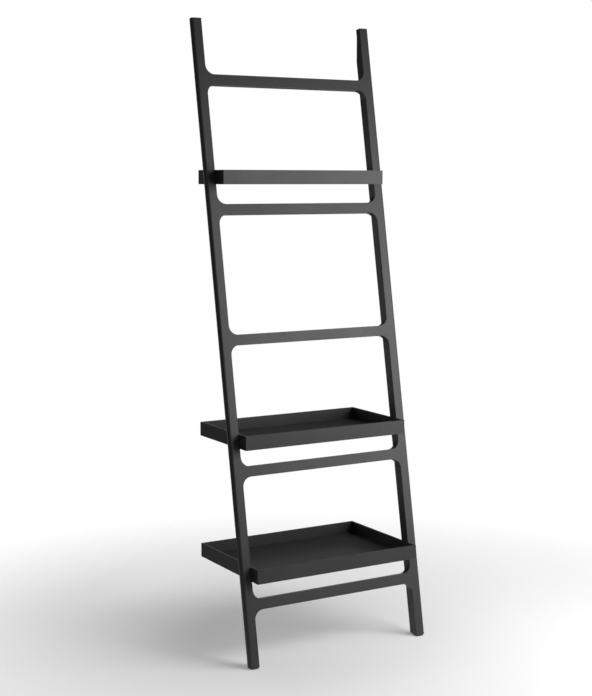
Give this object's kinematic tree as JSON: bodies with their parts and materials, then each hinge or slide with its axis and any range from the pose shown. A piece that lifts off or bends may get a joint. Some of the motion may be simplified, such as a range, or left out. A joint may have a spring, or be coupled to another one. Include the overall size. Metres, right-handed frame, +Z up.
{
  "type": "ladder shelf",
  "caption": "Leaning ladder shelf in charcoal lacquered wood: two stiles, five rungs and three shallow trays that grow deeper towards the floor.",
  "frame": {"origin": "on the floor, midway between the stiles and midway between the front of the feet and the wall", "axes": "+X to the right seen from the front, +Y towards the wall, +Z up"},
  "size_m": [0.662, 0.394, 2.0032],
  "materials": {
    "charcoal_lacquer": "matt charcoal lacquer on smooth board",
    "dowel_beech": "plain beech",
    "black_steel": "black",
    "insert_brass": "plain",
    "bush_steel": "zinc plated",
    "pad_rubber": "matt"
  },
  "bodies": {
    "root": {"foot_screws": "black_steel", "left_foot_pad": "pad_rubber", "left_inserts": "insert_brass", "left_stile": "charcoal_lacquer", "left_wall_bush": "bush_steel", "right_foot_pad": "pad_rubber", "right_inserts": "insert_brass", "right_stile": "charcoal_lacquer", "right_wall_bush": "bush_steel", "rung_1": "charcoal_lacquer", "rung_2": "charcoal_lacquer", "rung_3": "charcoal_lacquer", "rung_4": "charcoal_lacquer", "rung_5": "charcoal_lacquer", "rung_dowels": "dowel_beech", "tray_bottom_floor": "charcoal_lacquer", "tray_bottom_front": "charcoal_lacquer", "tray_bottom_left": "charcoal_lacquer", "tray_bottom_rear": "charcoal_lacquer", "tray_bottom_right": "charcoal_lacquer", "tray_bottom_screws": "black_steel", "tray_middle_floor": "charcoal_lacquer", "tray_middle_front": "charcoal_lacquer", "tray_middle_left": "charcoal_lacquer", "tray_middle_rear": "charcoal_lacquer", "tray_middle_right": "charcoal_lacquer", "tray_middle_screws": "black_steel", "tray_top_floor": "charcoal_lacquer", "tray_top_front": "charcoal_lacquer", "tray_top_left": "charcoal_lacquer", "tray_top_rear": "charcoal_lacquer", "tray_top_right": "charcoal_lacquer", "tray_top_screws": "black_steel"}
  },
  "joints": []
}
